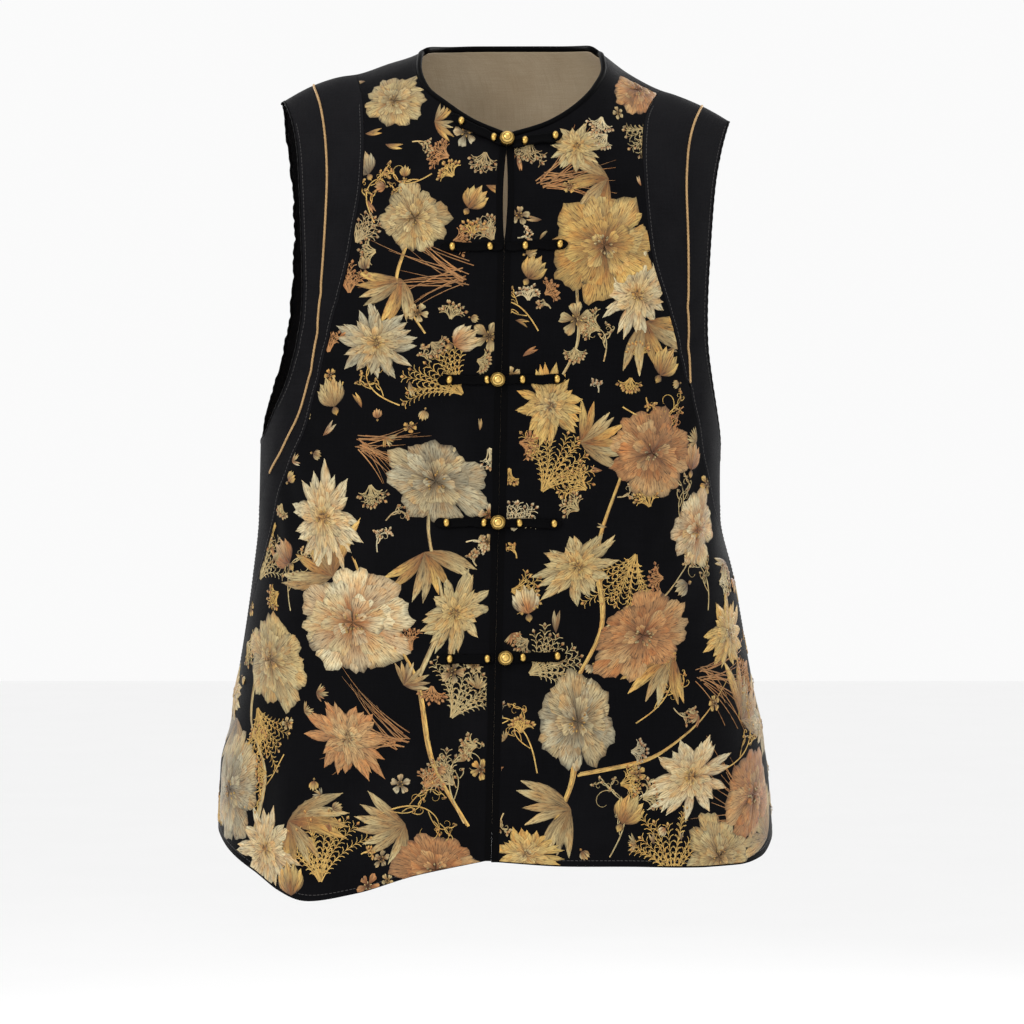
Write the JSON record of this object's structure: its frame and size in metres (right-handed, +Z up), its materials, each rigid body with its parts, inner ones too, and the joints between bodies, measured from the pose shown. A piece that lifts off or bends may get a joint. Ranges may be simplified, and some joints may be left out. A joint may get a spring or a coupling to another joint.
{
  "type": "embroidered waistcoat",
  "caption": "Sleeveless black silk waistcoat in worn form, embroidered fronts, round bound neck, centre front closed by frog fastenings with gold ball buttons, gold piped bands",
  "frame": {"origin": "between the shoulders at the height of the neck points, on the plane between front and back, where a wearer's shoulders hold the waistcoat", "axes": "+Z up, the front faces -Y, +X is the viewer's right as seen from the front"},
  "size_m": [0.4704, 0.2923, 0.7187],
  "materials": {
    "silk": "satin",
    "band": "matte",
    "binding": "satin",
    "lining": "satin",
    "cord": "satin",
    "brass": "polished"
  },
  "bodies": {
    "root": {"front_panel_left": "silk", "front_panel_right": "silk", "back_panel_left": "silk", "back_panel_right": "silk", "back_lining": "lining", "inner_band_front_left": "band", "side_band_front_left": "band", "inner_band_front_right": "band", "side_band_front_right": "band", "inner_band_back_left": "band", "side_band_back_left": "band", "inner_band_back_right": "band", "side_band_back_right": "band", "piping_left": "cord", "piping_right": "cord", "neck_binding": "binding", "edge_binding_left": "binding", "edge_binding_right": "binding", "frog_strap_1_left": "binding", "frog_stud_1_left_1": "brass", "frog_stud_1_left_2": "brass", "frog_strap_1_right": "binding", "frog_stud_1_right_1": "brass", "frog_stud_1_right_2": "brass", "frog_strap_2_left": "binding", "frog_stud_2_left_1": "brass", "frog_stud_2_left_2": "brass", "frog_strap_2_right": "binding", "frog_stud_2_right_1": "brass", "frog_stud_2_right_2": "brass", "frog_strap_3_left": "binding", "frog_stud_3_left_1": "brass", "frog_stud_3_left_2": "brass", "frog_strap_3_right": "binding", "frog_stud_3_right_1": "brass", "frog_stud_3_right_2": "brass", "frog_strap_4_left": "binding", "frog_stud_4_left_1": "brass", "frog_stud_4_left_2": "brass", "frog_strap_4_right": "binding", "frog_stud_4_right_1": "brass", "frog_stud_4_right_2": "brass", "frog_strap_5_left": "binding", "frog_stud_5_left_1": "brass", "frog_stud_5_left_2": "brass", "frog_strap_5_right": "binding", "frog_stud_5_right_1": "brass", "frog_stud_5_right_2": "brass", "ball_button_1": "brass", "ball_button_3": "brass", "ball_button_4": "brass", "ball_button_5": "brass"}
  },
  "joints": []
}
